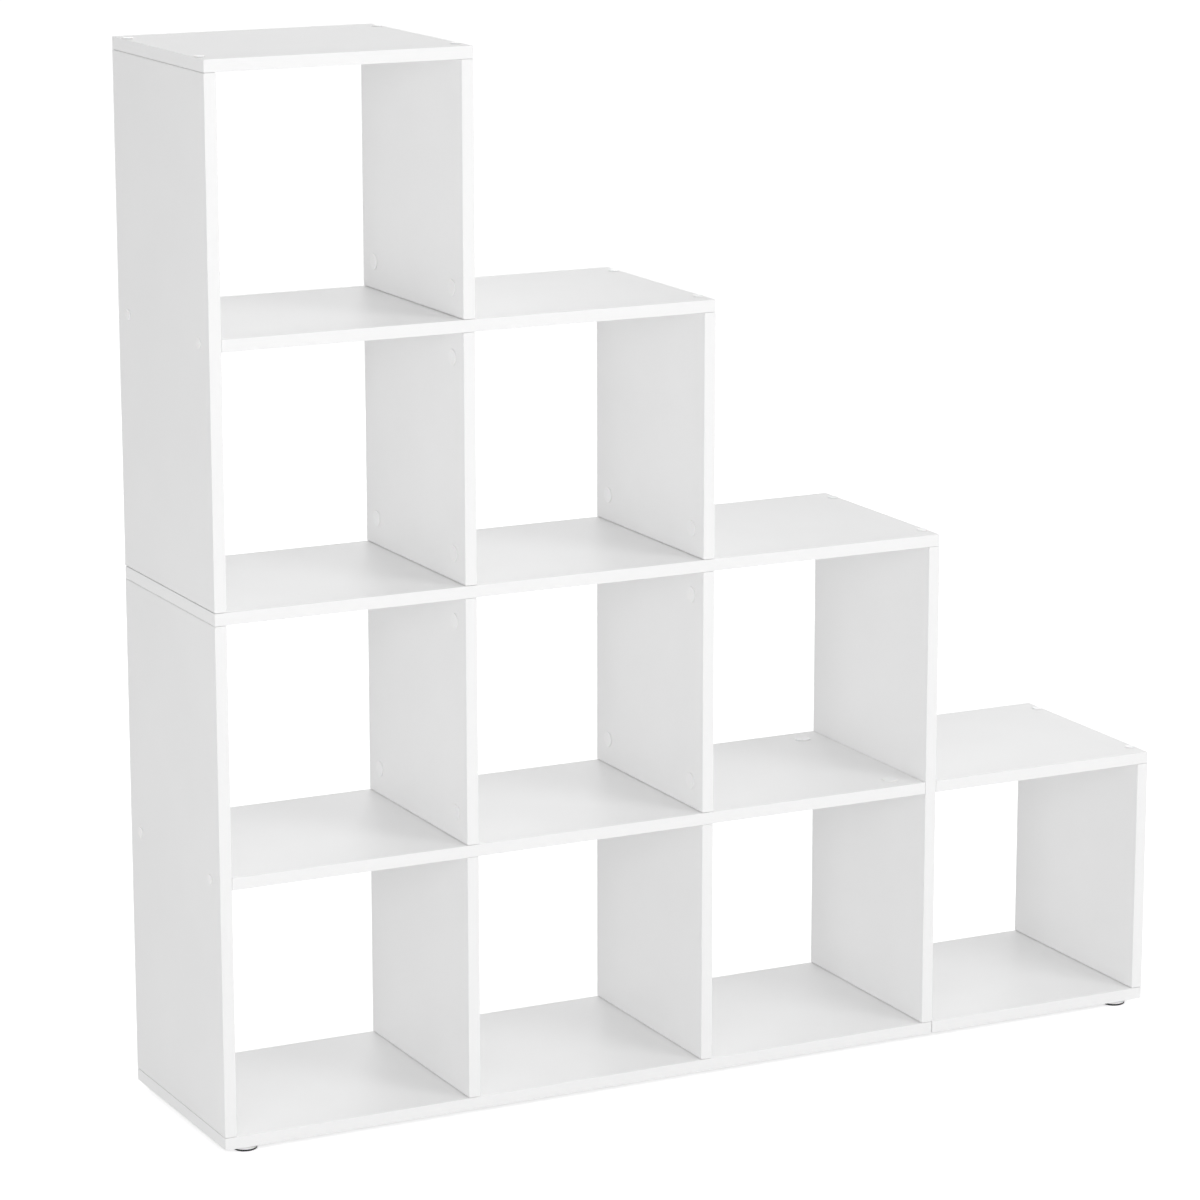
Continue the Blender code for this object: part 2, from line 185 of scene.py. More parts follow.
def linear(code):
    """Turn an sRGB hex colour into the linear red, green and blue that Blender takes."""
    shares = [int(code[start:start + 2], 16) / 255 for start in (1, 3, 5)]
    return tuple(s / 12.92 if s <= 0.04045 else ((s + 0.055) / 1.055) ** 2.4 for s in shares)


def size(name, description, default, **limits):
    """A length property in metres."""
    return FloatProperty(name=name, description=description, default=default, unit="LENGTH",
                         subtype="DISTANCE", precision=5, **limits)


def colour(name, description, code):
    """A colour property whose default is an sRGB hex colour."""
    return FloatVectorProperty(name=name, description=description, default=linear(code),
                               size=3, subtype="COLOR", min=0, max=1)


def power(name, description, default):
    """A lamp's power in watts."""
    return FloatProperty(name=name, description=description, default=default, min=0, unit="POWER")


class BookcaseBoards(bpy.types.PropertyGroup):
    """Sizes and colours of the boards and their edging."""

    edging: size("Edging thickness", "Thickness of the strip glued round each board", 0.001,
                 min=0.0004, max=0.002)
    arris: size("Edging rounding", "Radius of the edging's long outer corners", 0.0005,
                min=0.0001, max=0.0007)
    seam: size("Seam", "Depth of the fine groove between foil and edging", 0.00015,
               min=0.00002, max=0.0003)
    glue: size("Glue line", "Gap between board and edging, which glue fills", 0.0001,
               min=0.00001, max=0.0002)
    joint: size("Joint line", "How far the edging is drawn in round the foot of an upright", 0.0004,
                min=0, max=0.0004)
    foil: colour("Foil", "Colour of the melamine foil", "#F7F7F7")
    strip: colour("Edging", "Colour of the edging", "#F6F6F6")
    core: colour("Chipboard", "Colour of the chipboard inside the drilled holes", "#C3A170")


class BookcaseFittings(bpy.types.PropertyGroup):
    """Sizes and colours of the screws, cams, covers, dowels and glides."""

    pitch: size("Thread pitch", "Rise of the screws' thread in one turn", 0.003,
                min=0.001, max=0.005)
    thread: size("Thread depth", "How far the thread stands out of its core", 0.0008,
                 min=0.0002, max=0.001)
    dish: size("Cap dish", "How far the middle of a cap or cover lies below its rim", 0.00015,
               min=0, max=0.0004)
    sole: size("Sole height", "Height of the dark sole under each glide", 0.0026,
               min=0.001, max=0.003)
    cap: colour("Screw caps", "Colour of the moulded screw caps", "#FAFAFA")
    cover: colour("Cam covers", "Colour of the moulded cam covers", "#F9F9F9")
    steel: colour("Zinc plate", "Colour of the plated screws and bolts", "#C6C9CD")
    zinc: colour("Cast zinc", "Colour of the die-cast cams", "#A4A6A8")
    beech: colour("Beech", "Colour of the dowels", "#CFA878")
    glide: colour("Glides", "Colour of the glides' plastic", "#F8F8F8")
    rubber: colour("Soles", "Colour of the glides' rubber soles", "#161617")


class BookcaseStage(bpy.types.PropertyGroup):
    """The floor, the lamps and the camera."""

    floor: colour("Floor", "Colour of the studio floor", "#F0F0F0")
    front: power("Front softbox", "Power of the high lamp in front", 55)
    left: power("Left softbox", "Power of the lamp before the left side", 61)
    right: power("Right softbox", "Power of the lamp on the right", 20)
    rear: power("Rear softbox", "Power of the lamp behind the bookcase", 36)
    side: power("Side softbox", "Power of the lamp behind, on the right", 16)
    sky: FloatProperty(name="Room light", description="Strength of the even light all round",
                       default=0.546, min=0)
    lens: FloatProperty(name="Lens", description="Focal length on a sensor 36 mm wide",
                        default=134.092, min=20, subtype="DISTANCE_CAMERA")


# Surfaces: each is a grid of points, rows by columns, as arrays; a closed way of a grid comes back
# to the points that it starts from, and new_piece welds them
def measured(points):
    """UV of a grid in metres: the length along its columns and down its rows."""
    across = np.linalg.norm(np.diff(points, axis=1), axis=2).max(axis=0)
    down = np.linalg.norm(np.diff(points, axis=0), axis=2).max(axis=1)
    u, v = np.concatenate(([0], np.cumsum(across))), np.concatenate(([0], np.cumsum(down)))
    return np.stack(np.broadcast_arrays(u[None, :], v[:, None]), axis=-1)


def placed(points, place):
    """The points after a placement matrix: turned by its rotation, then moved."""
    place = np.array(place)
    return points @ place[:3, :3].T + place[:3, 3]


def frame_at(point, outward, across=None):
    """A placement whose Z points outward and whose X points across."""
    across = across or (FRONT if abs(outward.dot(FRONT)) < 0.5 else UP)
    turn = Matrix((across, outward.cross(across), outward)).transposed()
    return Matrix.Translation(point) @ turn.to_4x4()


def eased(corners, radii, steps=3):
    """A line with its inner corners rounded.

    Each corner becomes a parabola: (1-t)^2 a + 2t(1-t) corner + t^2 b, where a and b lie on the
    corner's two sides at its radius, or at just under half the side where that is shorter.
    """
    corners = np.asarray(corners, float)
    middle = corners[1:-1]
    t = np.linspace(0, 1, steps + 1)[None, :, None]
    ends = []
    for other in (corners[:-2], corners[2:]):
        side = other - middle
        length = np.maximum(np.linalg.norm(side, axis=1, keepdims=True), 1e-9)
        reach = np.minimum(np.broadcast_to(radii, len(middle))[:, None], 0.48 * length)
        ends.append((middle + side / length * reach)[:, None, :])
    bends = (1 - t) ** 2 * ends[0] + 2 * t * (1 - t) * middle[:, None, :] + t ** 2 * ends[1]
    return np.concatenate((corners[:1], bends.reshape(-1, 2), corners[-1:]))


def turned(profile, columns=32, outline=None):
    """A profile of radius and height turned round Z.

    The point at angle a is (r f cos a, r f sin a, h), where f is 1, or the factor that outline
    gives for each row and angle, which makes hexagons, wings and flutes.
    """
    radius, height = np.asarray(profile, float).T[:, :, None]
    angle = np.linspace(0, 2 * np.pi, columns + 1)[None, :]
    factor = 1 if outline is None else outline(np.arange(len(radius))[:, None], angle)
    across = radius * factor
    return np.stack(np.broadcast_arrays(across * np.cos(angle), across * np.sin(angle), height),
                    axis=-1)


def hexagon(angle):
    """Radius of a hexagon over its inner radius: 1 / cos of the angle from a side's middle."""
    return 1 / np.cos((angle + np.pi / 6) % (np.pi / 3) - np.pi / 6)


def thread_grid(core, depth, top, bottom, pitch, columns=24, steps=6):
    """A thread: a ridged profile carried down a helix.

    Row u at angle a lies at top - pitch (u / steps + a / 2 pi), held between top and bottom. Its
    radius is core + depth times a tooth, which depends on u alone, so rows follow the thread, and
    which fades out over the last turn at each end.
    """
    turns = (top - bottom) / pitch
    u = np.arange(-steps, math.ceil(turns) * steps + 1)[:, None]
    angle = np.linspace(0, 2 * np.pi, columns + 1)[None, :]
    height = np.clip(top - pitch * (u / steps + angle / (2 * np.pi)), bottom, top)
    tooth = np.clip((1 - np.abs(2 * (u / steps % 1) - 1)) * 1.8 - 0.6, 0, 1)
    fade = np.clip(np.minimum(top - height, height - bottom) / pitch, 0, 1)
    radius = core + depth * tooth * fade
    return np.stack((radius * np.cos(angle), radius * np.sin(angle), height), axis=-1)


def way_round(first, second, inset, steps):
    """A way round a rectangle whose corners are drawn in by the inset.

    At each point it gives the angle of the normal, which turns a quarter at each of the four
    corners, and the corner's two coordinates. The last point closes the way.
    """
    quarter = np.linspace(0, np.pi / 2, steps + 1)
    turn = (quarter[None, :] + np.arange(4)[:, None] * np.pi / 2).reshape(-1)
    corner = [np.repeat(signs, steps + 1) * (extent / 2 - inset)
              for signs, extent in (((1, -1, -1, 1), first), ((1, 1, -1, -1), second))]
    return [np.append(values, values[0])[None, :] for values in (turn, *corner)]


def rounded_bar(length, width, height, radius, steps=2):
    """A closed bar along X with rounded corners.

    The section in Y and Z is a rectangle drawn in by the radius, plus the radius along a normal
    that turns once round. The section is carried along X, and at both ends the normal also turns
    from across to along, as cos b and sin b, so that each corner is part of a sphere.
    """
    turn, side_y, side_z = way_round(width, height, radius, steps)
    quarter = np.linspace(0, np.pi / 2, steps + 1)
    bend = np.concatenate((quarter - np.pi / 2, quarter))[:, None]
    end = np.repeat((-1, 1), steps + 1)[:, None] * (length / 2 - radius)
    y = side_y + radius * np.cos(bend) * np.cos(turn)
    z = side_z + radius * np.cos(bend) * np.sin(turn)
    x = end + radius * np.sin(bend) + 0 * turn
    ring = np.stack((x, y, z), axis=-1)
    poles = ring[[0, -1]] * (1, 0, 0)
    return np.concatenate((poles[:1], ring, poles[1:]))


def edging_band(length, width, height, thickness, arris, seam, drawn, steps=3):
    """A closed strip round a board's outline: the strip's section carried round a rectangle.

    The section is distance out from the board against height, with its outer corners rounded and
    its inner ones cut off for the seam. A point is the rectangle's corner, plus the distance along
    a normal that turns a quarter at each corner, so the strip bends round it without a mitre.
    A side that stands against another board is crowned: its distance is drawn in by that side's
    amount times |height / half|^4, so it bears in the middle and leaves a dark line at its edges.
    """
    half = height / 2
    face = ((thickness, share * half) for share in (-1, -0.84, -0.55, 0.55, 0.84, 1))
    corners = ((0, seam - half), (seam, -half), *face, (seam, half), (0, half - seam),
               (0, seam - half))
    out, rise = eased(corners, (0, arris, 0, 0, 0, 0, arris, 0, 0), steps).T[:, :, None]
    turn, side_x, side_y = way_round(length, width, thickness, steps)
    facing = np.cos(turn - np.arange(4)[:, None] * np.pi / 2).clip(0)
    crown = (np.array(drawn)[:, None] * facing).sum(axis=0)
    out = out * (1 - crown / thickness * np.abs(rise / half) ** 4)
    x = side_x + out * np.cos(turn)
    y = side_y + out * np.sin(turn)
    return np.stack(np.broadcast_arrays(x, y, rise), axis=-1)


def faces_of(rows, columns, start):
    """Quads between neighbouring points of a grid whose numbers begin at start."""
    corner = start + np.arange((rows - 1) * columns).reshape(rows - 1, columns)[:, :-1]
    return np.stack((corner, corner + 1, corner + columns + 1, corner + columns), -1).reshape(-1, 4)


def surface_mesh(name, grids):
    """One mesh from grids of points, each with its look, and its UV in metres."""
    points = np.concatenate([grid.reshape(-1, 3) for grid, _ in grids])
    lengths = np.concatenate([measured(grid).reshape(-1, 2) for grid, _ in grids])
    starts = np.cumsum([0] + [grid.shape[0] * grid.shape[1] for grid, _ in grids])
    quads = [faces_of(*grid.shape[:2], start) for (grid, _), start in zip(grids, starts)]
    faces = np.concatenate(quads)
    mesh = bpy.data.meshes.new(name)
    mesh.from_pydata(points, [], faces.tolist())
    looks = list(dict.fromkeys(look for _, look in grids))
    which = np.repeat([looks.index(look) for _, look in grids], [len(part) for part in quads])
    mesh.polygons.foreach_set("material_index", which)
    mesh.uv_layers.new(name="lengths").uv.foreach_set("vector", lengths[faces].ravel())
    for look in looks:
        mesh.materials.append(look)
    weld = bmesh.new()
    weld.from_mesh(mesh)
    bmesh.ops.remove_doubles(weld, verts=weld.verts, dist=MERGE)
    bmesh.ops.recalc_face_normals(weld, faces=weld.faces)
    weld.to_mesh(mesh)
    weld.free()
    return mesh


def new_object(name, mesh):
    """Link a mesh to the scene under a name."""
    made = bpy.data.objects.new(name, mesh)
    bpy.context.scene.collection.objects.link(made)
    return made


def new_piece(name, grids, nodes=(), smooth=True):
    """A finished piece of the bookcase: it rides on the root, and stands for its CAD nodes."""
    piece = new_object(name, surface_mesh(name, grids))
    if smooth:
        piece.data.shade_smooth()
        piece.data.set_sharp_from_angle(angle=SHARP_ANGLE)
    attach(piece, "root")
    if nodes:
        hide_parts(*nodes)
    return piece


# Places, worked out from the CAD nodes
def stands_against(name, axis, way):
    """Whether a panel's end, one way along an axis, stands against another panel."""
    low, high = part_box(name)
    point = (low + high) / 2
    point[axis] = (high if way > 0 else low)[axis] + way * PROBE
    boxes = (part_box(other) for other in PANELS if other != name)
    return any(all(low[k] < point[k] < high[k] for k in range(3)) for low, high in boxes)


def screw_place(name, row, through, outward):
    """Where a screw's axis meets the outer face of the panel it goes through."""
    low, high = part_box(f"{name}_{row}")
    point = (low + high) / 2
    panel_low, panel_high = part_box(through)
    way = max(range(3), key=lambda axis: abs(outward[axis]))
    point[way] = panel_high[way] if outward[way] > 0 else panel_low[way]
    return frame_at(point, outward)


def cam_middle(name, row, through, held):
    """The middle of a bolt: in the middle of the panel between and of the one that it holds."""
    middle = sum(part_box(held), Vector()) / 2
    between = sum(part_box(through), Vector()) / 2
    low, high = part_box(through)
    thin = min((0, 2), key=lambda axis: high[axis] - low[axis])
    middle[thin] = between[thin]
    low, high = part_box(f"{name}_{row}")
    middle.y = (low.y + high.y) / 2
    return middle


def cam_ends(middle, axis, ends):
    """For each end of a bolt, the panel that it holds, the way out there and its cam's place."""
    for (held, side), end in zip(ends, (axis, -axis)):
        yield held, end, frame_at(middle + end * CAM_REACH + side * (BOARD / 2), side, end)


def dowel_places():
    """The placement of each dowel's middle, along X, where the two bottom boards meet."""
    left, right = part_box("bottom_board"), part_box("right_cube_bottom")
    for row in ROWS:
        low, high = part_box(f"bottom_screw_third_divider_{row}")
        point = Vector(((left[1].x + right[0].x) / 2, (low.y + high.y) / 2,
                        (left[0].z + left[1].z) / 2))
        yield row, frame_at(point, RIGHT)


def foot_place(name):
    """The placement of a glide's middle, on the floor."""
    low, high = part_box(name)
    return Matrix.Translation(((low.x + high.x) / 2, (low.y + high.y) / 2, low.z))


# Drilled holes: closed shapes to be cut out of the panels
def drills():
    """For each panel, the straight holes and the cam pockets as grids of points."""
    holes = {name: ([], []) for name in PANELS}

    def drill(panel, profile, place, columns=24, pocket=False):
        holes[panel][pocket].append(placed(turned(profile, columns), place))

    def hole(radius, top, bottom):
        return ((0, top), (radius, top), (radius, bottom), (0, bottom))

    seat = -SCREW_SINK - SCREW_HEAD_HEIGHT - CLEARANCE
    cone = SCREW_HEAD_RADIUS - SCREW_SHANK_RADIUS
    head, shank = SCREW_HEAD_RADIUS + CLEARANCE, SCREW_SHANK_RADIUS + CLEARANCE
    way = ((0, OVERRUN), (head, OVERRUN), (head, seat), (shank, seat - cone),
           (shank, -BOARD - OVERRUN), (0, -BOARD - OVERRUN))
    bore = hole(SCREW_BORE_RADIUS, OVERRUN - BOARD, -SCREW_SINK - SCREW_LENGTH - CLEARANCE)
    for name, through, held, outward in CAPPED_SCREWS + BOTTOM_SCREWS:
        for row in ROWS:
            place = screw_place(name, row, through, outward)
            drill(through, way, place)
            drill(held, bore, place)
    bolt = BOLT_RADIUS + CLEARANCE
    for name, through, axis, *ends in CAM_FITTINGS:
        for row in ROWS:
            middle = cam_middle(name, row, through, ends[0][0])
            drill(through, hole(bolt, BOARD / 2 + OVERRUN, -BOARD / 2 - OVERRUN),
                  frame_at(middle, axis, ends[0][1]))
            for held, end, place in cam_ends(middle, axis, ends):
                drill(held, hole(bolt, OVERRUN, BOARD / 2 - CAM_REACH),
                      frame_at(middle + end * (BOARD / 2), -end))
                drill(held, hole(CAM_RADIUS + CLEARANCE, OVERRUN, -CAM_DEPTH - CLEARANCE),
                      place, 32, True)
    for _, place in dowel_places():
        for panel, turn in (("bottom_board", -1), ("right_cube_bottom", 1)):
            reach = turn * (DOWEL_LENGTH / 2 + CLEARANCE)
            drill(panel, hole(DOWEL_RADIUS + CLEARANCE, -turn * OVERRUN, reach), place)
    for name, panel in FEET:
        top = FOOT_HEIGHT + PIN_LENGTH + CLEARANCE
        drill(panel, hole(PIN_RADIUS + CLEARANCE, top, 0), foot_place(name))
    return holes


def cut(piece, holes, look):
    """Cut holes out of a piece, whose walls take a look of their own, and keep the result."""
    tools = []
    for number, grids in enumerate(holes):
        if grids:
            tool = new_object("drill", surface_mesh("drill", [(grid, look) for grid in grids]))
            step = piece.modifiers.new(f"drill_{number}", "BOOLEAN")
            step.operation = "DIFFERENCE"
            step.solver = "EXACT"
            step.material_mode = "TRANSFER"
            step.object = tool
            tools.append(tool)
    if not tools:
        return
    graph = bpy.context.evaluated_depsgraph_get()
    mesh = bpy.data.meshes.new_from_object(piece.evaluated_get(graph), depsgraph=graph)
    piece.modifiers.clear()
    if not len(mesh.polygons):
        raise RuntimeError(f"{piece.name} is empty after its holes are drilled")
    uncut, piece.data = piece.data, mesh
    bpy.data.meshes.remove(uncut)
    for tool in tools:
        shape = tool.data
        bpy.data.objects.remove(tool)
        bpy.data.meshes.remove(shape)


# Materials
def add_node(tree, kind, inputs=None, **settings):
    """Add a shader node, set it up, and give its sockets values or links from other nodes."""
    made = tree.nodes.new(f"ShaderNode{kind}")
    for name, value in settings.items():
        setattr(made, name, value)
    for name, value in (inputs or {}).items():
        if isinstance(value, bpy.types.NodeSocket):
            tree.links.new(value, made.inputs[name])
        else:
            made.inputs[name].default_value = value
    return made


def per_metre(millimetres):
    """How many times a pattern of that size repeats in a metre."""
    return 1000 / millimetres


def shade(colour_value, factor=1.0):
    """A linear colour made darker or lighter, with its alpha."""
    return (*(min(1.0, c * factor) for c in colour_value), 1.0)


def new_material(name):
    """An empty node material and its tree; one of that name that is already there starts anew."""
    made = bpy.data.materials.get(name) or bpy.data.materials.new(name)
    made.use_nodes = True
    made.node_tree.nodes.clear()
    return made, made.node_tree


def finish_material(made, tree, value, blend, tones, gloss, relief, inputs=None):
    """Close a material, with patterns for its colour, its roughness and its fine relief.

    Blend is a pattern, and the range of it over which the colour's two tones mix; each tone is a
    factor of the colour. Gloss is a pattern, its range, and the roughness at that range's ends.
    Relief is a pattern, and the bump's strength and depth. Inputs are the shader's constants.
    """
    pattern, (start, stop) = blend
    mix = add_node(tree, "MapRange", {"Value": pattern, "From Min": start, "From Max": stop})
    colours = add_node(tree, "Mix", {
        0: mix.outputs[0], 6: shade(value, tones[0]), 7: shade(value, tones[1])},
        data_type="RGBA")
    pattern, (start, stop), (smooth, dull) = gloss
    rough = add_node(tree, "MapRange", {
        "Value": pattern, "From Min": start, "From Max": stop, "To Min": smooth, "To Max": dull})
    height, strength, depth = relief
    bump = add_node(tree, "Bump", {"Strength": strength, "Distance": depth, "Height": height})
    shader = add_node(tree, "BsdfPrincipled", {
        "Base Color": colours.outputs[2], "Roughness": rough.outputs[0],
        "Normal": bump.outputs[0], **(inputs or {})})
    add_node(tree, "OutputMaterial", {"Surface": shader.outputs[0]})
    return made


# Ranges of a pattern: where noise mostly lies, and all of it
MOSTLY = (0.3, 0.7)
WHOLE = (0, 1)


def melamine_foil(value):
    """Melamine foil hot-pressed on chipboard: hard, matt and nearly even.

    The press plate leaves a fine pearl grain, about 0.4 mm wide, which scatters reflections; it is
    drawn 1.1 mm wide, because the real one is too fine to show. The paper under the resin makes
    the white drift a little over hand widths.
    """
    made, tree = new_material("melamine_foil_hot_pressed")
    at = add_node(tree, "TexCoord").outputs["Object"]
    grain = add_node(tree, "TexNoise", {
        "Vector": at, "Scale": per_metre(1.1), "Detail": 3, "Roughness": 0.6}).outputs["Fac"]
    drift = add_node(tree, "TexNoise", {
        "Vector": at, "Scale": per_metre(160), "Detail": 2, "Roughness": 0.5}).outputs["Fac"]
    fleck = add_node(tree, "TexNoise", {
        "Vector": at, "Scale": per_metre(4), "Detail": 4, "Roughness": 0.65}).outputs["Fac"]
    tone = add_node(tree, "Math", {0: drift, 1: 0.75}, operation="MULTIPLY")
    both = add_node(tree, "Math", {
        0: fleck, 1: 0.25, 2: tone.outputs[0]}, operation="MULTIPLY_ADD").outputs[0]
    return finish_material(made, tree, value, (both, (0.35, 0.65)), tones=(0.982, 1.004),
                           gloss=(grain, MOSTLY, (0.47, 0.58)), relief=(grain, 0.12, 0.0001),
                           inputs={"IOR": 1.5})


def extruded_edging(value):
    """ABS edging, extruded and trimmed: smoother than the foil, with faint lines along it.

    The die's lines are about 0.3 mm apart and run with the strip, so they follow its own lengths;
    they are drawn 0.6 mm apart, because the real ones are too fine to show.
    """
    made, tree = new_material("abs_edging_extruded")
    run = add_node(tree, "UVMap", uv_map="lengths").outputs[0]
    along = add_node(tree, "Mapping", {
        "Vector": run, "Scale": (per_metre(90), per_metre(0.6), 1)}).outputs[0]
    lines = add_node(tree, "TexNoise", {
        "Vector": along, "Scale": 1, "Detail": 2, "Roughness": 0.5}).outputs["Fac"]
    return finish_material(made, tree, value, (lines, WHOLE), tones=(0.985, 1.006),
                           gloss=(lines, MOSTLY, (0.38, 0.46)), relief=(lines, 0.08, 0.0001),
                           inputs={"IOR": 1.53})


def pressed_chipboard(value):
    """Chipboard, cut by a drill: pale and dark flakes 1 to 4 mm long, open and dull."""
    made, tree = new_material("chipboard_drilled")
    at = add_node(tree, "TexCoord").outputs["Object"]
    flakes = add_node(tree, "TexVoronoi", {"Vector": at, "Scale": per_metre(1.6)})
    fibre = add_node(tree, "TexNoise", {
        "Vector": at, "Scale": per_metre(0.7), "Detail": 4, "Roughness": 0.7}).outputs["Fac"]
    mixed = add_node(tree, "Math", {
        0: flakes.outputs["Distance"], 1: fibre}, operation="MULTIPLY").outputs[0]
    return finish_material(made, tree, value, (mixed, (0.05, 0.4)), tones=(0.62, 1.15),
                           gloss=(fibre, WHOLE, (0.8, 0.95)), relief=(mixed, 0.5, 0.0002))


def moulded_plastic(name, value, low, high):
    """Moulded polyethylene: waxy, with a fine spark-eroded grain and a soft, broad shine.

    The mould's grain is about 0.1 mm; it is drawn 0.4 mm wide, because the real one is too fine
    to show. Light goes a little way in, which a small subsurface weight gives.
    """
    made, tree = new_material(name)
    at = add_node(tree, "TexCoord").outputs["Object"]
    grain = add_node(tree, "TexNoise", {
        "Vector": at, "Scale": per_metre(0.4), "Detail": 2, "Roughness": 0.5}).outputs["Fac"]
    flow = add_node(tree, "TexNoise", {
        "Vector": at, "Scale": per_metre(7), "Detail": 3, "Roughness": 0.5,
        "Distortion": 0.6}).outputs["Fac"]
    return finish_material(made, tree, value, (flow, WHOLE), tones=(0.97, 1.01),
                           gloss=(grain, MOSTLY, (low, high)), relief=(grain, 0.1, 0.00005),
                           inputs={"IOR": 1.5, "Subsurface Weight": 0.05,
                                   "Subsurface Scale": 0.001})


def soft_rubber(value):
    """Thermoplastic rubber, moulded: dark and dull, scuffed a little where it rubs the floor."""
    made, tree = new_material("thermoplastic_rubber_moulded")
    at = add_node(tree, "TexCoord").outputs["Object"]
    scuff = add_node(tree, "TexNoise", {
        "Vector": at, "Scale": per_metre(1.5), "Detail": 5, "Roughness": 0.7}).outputs["Fac"]
    return finish_material(made, tree, value, (scuff, (0.45, 0.75)), tones=(0.85, 1.6),
                           gloss=(scuff, WHOLE, (0.62, 0.85)), relief=(scuff, 0.2, 0.0001))


def plated_steel(value):
    """Zinc-plated steel, turned and rolled: bright grey with a cool, slightly clouded sheen.

    Turning leaves marks about 0.15 mm apart round the axis, which follow the surface's lengths.
    """
    made, tree = new_material("zinc_plated_steel_turned")
    run = add_node(tree, "UVMap", uv_map="lengths").outputs[0]
    round_it = add_node(tree, "Mapping", {
        "Vector": run, "Scale": (per_metre(12), per_metre(0.15), 1)}).outputs[0]
    marks = add_node(tree, "TexNoise", {
        "Vector": round_it, "Scale": 1, "Detail": 2}).outputs["Fac"]
    at = add_node(tree, "TexCoord").outputs["Object"]
    cloud = add_node(tree, "TexNoise", {
        "Vector": at, "Scale": per_metre(5), "Detail": 3, "Roughness": 0.6}).outputs["Fac"]
    return finish_material(made, tree, value, (cloud, WHOLE), tones=(0.85, 1.08),
                           gloss=(marks, MOSTLY, (0.26, 0.42)), relief=(marks, 0.15, 0.00003),
                           inputs={"Metallic": 1.0})


def cast_zinc(value):
    """Zinc, pressure-cast and left raw: dull grey, mottled where the metal chilled."""
    made, tree = new_material("zinc_die_cast")
    at = add_node(tree, "TexCoord").outputs["Object"]
    chill = add_node(tree, "TexNoise", {
        "Vector": at, "Scale": per_metre(1.2), "Detail": 4, "Roughness": 0.65}).outputs["Fac"]
    return finish_material(made, tree, value, (chill, WHOLE), tones=(0.75, 1.15),
                           gloss=(chill, WHOLE, (0.42, 0.65)), relief=(chill, 0.2, 0.00005),
                           inputs={"Metallic": 1.0})


def turned_beech(value):
    """Beech, planed and fluted: fine straight grain with short dark rays 1 to 3 mm long."""
    made, tree = new_material("beech_fluted")
    at = add_node(tree, "TexCoord").outputs["Object"]
    along = add_node(tree, "Mapping", {
        "Vector": at, "Scale": (per_metre(8), per_metre(0.9), per_metre(0.9))}).outputs[0]
    grain = add_node(tree, "TexNoise", {
        "Vector": along, "Scale": 1, "Detail": 4, "Roughness": 0.6}).outputs["Fac"]
    return finish_material(made, tree, value, (grain, (0.35, 0.7)), tones=(1.1, 0.72),
                           gloss=(grain, WHOLE, (0.55, 0.72)), relief=(grain, 0.2, 0.0001))


def paper_floor(value):
    """A roll of white studio paper: matt, with faint fibres 2 mm wide.

    Camera, glossy and transmission rays see it lifted by 0.6 of white, so the ground is as even
    as a white background, while the object's shadow still darkens it.
    """
    made, tree = new_material("studio_paper_rolled")
    at = add_node(tree, "TexCoord").outputs["Object"]
    fibre = add_node(tree, "TexNoise", {
        "Vector": at, "Scale": per_metre(2), "Detail": 3, "Roughness": 0.6})
    colours = add_node(tree, "Mix", {
        0: fibre.outputs["Fac"], 6: shade(value, 0.99), 7: shade(value, 1.0)}, data_type="RGBA")
    paper = add_node(tree, "BsdfDiffuse", {"Color": colours.outputs[2]})
    lift = add_node(tree, "Math", {
        0: seen_directly(tree), 1: FLOOR_LIFT}, operation="MULTIPLY")
    white = add_node(tree, "Emission", {
        "Color": (1, 1, 1, 1), "Strength": lift.outputs[0]})
    both = add_node(tree, "AddShader", {0: paper.outputs[0], 1: white.outputs[0]})
    add_node(tree, "OutputMaterial", {"Surface": both.outputs[0]})
    return made


def seen_directly(tree):
    """1 for rays from the camera, off gloss or through glass, and else 0."""
    path = add_node(tree, "LightPath")
    first = add_node(tree, "Math", {
        0: path.outputs["Is Camera Ray"], 1: path.outputs["Is Glossy Ray"]}, operation="MAXIMUM")
    return add_node(tree, "Math", {
        0: first.outputs[0], 1: path.outputs["Is Transmission Ray"]},
        operation="MAXIMUM").outputs[0]


# Pieces
def panel_lie(name):
    """The axes along a panel's length, width and thickness, and its sizes along them."""
    low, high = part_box(name)
    order = (0, 1, 2) if high.z - low.z < high.x - low.x else (1, 2, 0)
    return order, [(high - low)[axis] for axis in order]


def lay_panel(name, part, grid, look, holes, core):
    """Make a part of a panel from a grid in the panel's own axes, in its place and drilled."""
    low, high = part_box(name)
    order, _ = panel_lie(name)
    grid = grid[..., np.argsort(order)] + np.array((low + high) / 2)
    piece = new_piece(f"{name}_{part}", [(grid, look)], [name], False)
    cut(piece, holes[name], core)


class BOOKCASE_OT_boards(bpy.types.Operator):
    """Lay a foil-faced chipboard core in the place of each board and upright"""

    bl_idname = "bookcase.boards"
    bl_label = "Boards"

    def execute(self, context):
        sizes = context.scene.bookcase_boards
        foil, core = melamine_foil(sizes.foil), pressed_chipboard(sizes.core)
        holes = drills()
        inset = 2 * (sizes.edging + sizes.glue)
        for name in PANELS:
            _, (length, width, height) = panel_lie(name)
            bar = rounded_bar(length - inset, width - inset, height, sizes.seam)
            lay_panel(name, "foiled", bar, foil, holes, core)
        return {"FINISHED"}


